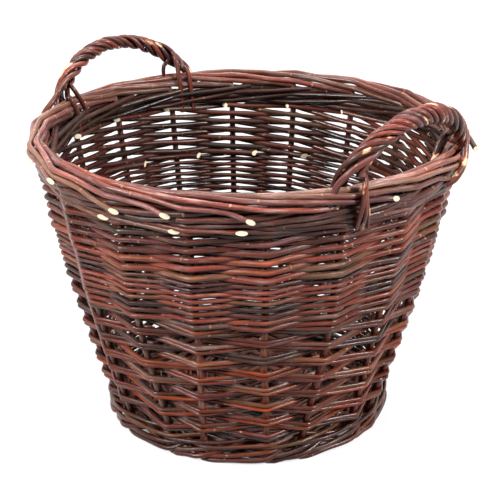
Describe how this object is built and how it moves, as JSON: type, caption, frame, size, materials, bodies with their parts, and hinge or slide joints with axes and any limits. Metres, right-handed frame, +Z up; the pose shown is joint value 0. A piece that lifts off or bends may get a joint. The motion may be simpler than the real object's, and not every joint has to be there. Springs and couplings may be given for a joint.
{
  "type": "harvest basket",
  "caption": "Round tapered basket of unpeeled willow with a woven wall, a wound border and a roped handle on either side, for carrying crops or laundry.",
  "frame": {"origin": "on the ground under the middle of the basket", "axes": "+Z up, +X through the higher handle, -X through the lower one"},
  "size_m": [0.4518, 0.4446, 0.3789],
  "materials": {
    "weaver_bark": "unpeeled willow rods, dark red-brown bark with a low gloss",
    "stake_bark": "thicker unpeeled willow rods, red-brown bark with a low gloss",
    "wale_bark": "unpeeled willow rods, red-brown bark with cream cut ends",
    "base_bark": "thick willow sticks and weavers, dull brown bark",
    "handle_bark": "twisted willow rods, glossy red bark with tan peeled patches"
  },
  "bodies": {
    "root": {"row_01": "weaver_bark", "row_02": "weaver_bark", "row_03": "weaver_bark", "row_04": "weaver_bark", "row_05": "weaver_bark", "row_06": "weaver_bark", "row_07": "weaver_bark", "row_08": "weaver_bark", "row_09": "weaver_bark", "row_10": "weaver_bark", "row_11": "weaver_bark", "row_12": "weaver_bark", "row_13": "weaver_bark", "row_14": "weaver_bark", "row_15": "weaver_bark", "row_16": "weaver_bark", "row_17": "weaver_bark", "row_18": "weaver_bark", "row_19": "weaver_bark", "row_20": "weaver_bark", "row_21": "weaver_bark", "row_22": "weaver_bark", "row_23": "weaver_bark", "row_24": "weaver_bark", "row_25": "weaver_bark", "row_26": "weaver_bark", "row_27": "weaver_bark", "stake_01": "stake_bark", "stake_02": "stake_bark", "stake_03": "stake_bark", "stake_04": "stake_bark", "stake_05": "stake_bark", "stake_06": "stake_bark", "stake_07": "stake_bark", "stake_08": "stake_bark", "stake_09": "stake_bark", "stake_10": "stake_bark", "stake_11": "stake_bark", "stake_12": "stake_bark", "stake_13": "stake_bark", "stake_14": "stake_bark", "stake_15": "stake_bark", "stake_16": "stake_bark", "stake_17": "stake_bark", "stake_18": "stake_bark", "foot_wale_01": "wale_bark", "foot_wale_02": "wale_bark", "foot_wale_03": "wale_bark", "rim_wale_01": "wale_bark", "rim_wale_02": "wale_bark", "rim_wale_03": "wale_bark", "base_stick_1": "base_bark", "base_stick_2": "base_bark", "base_stick_3": "base_bark", "base_stick_4": "base_bark", "base_stick_5": "base_bark", "base_weave": "base_bark", "handle_right": "handle_bark", "handle_left": "handle_bark"}
  },
  "joints": []
}
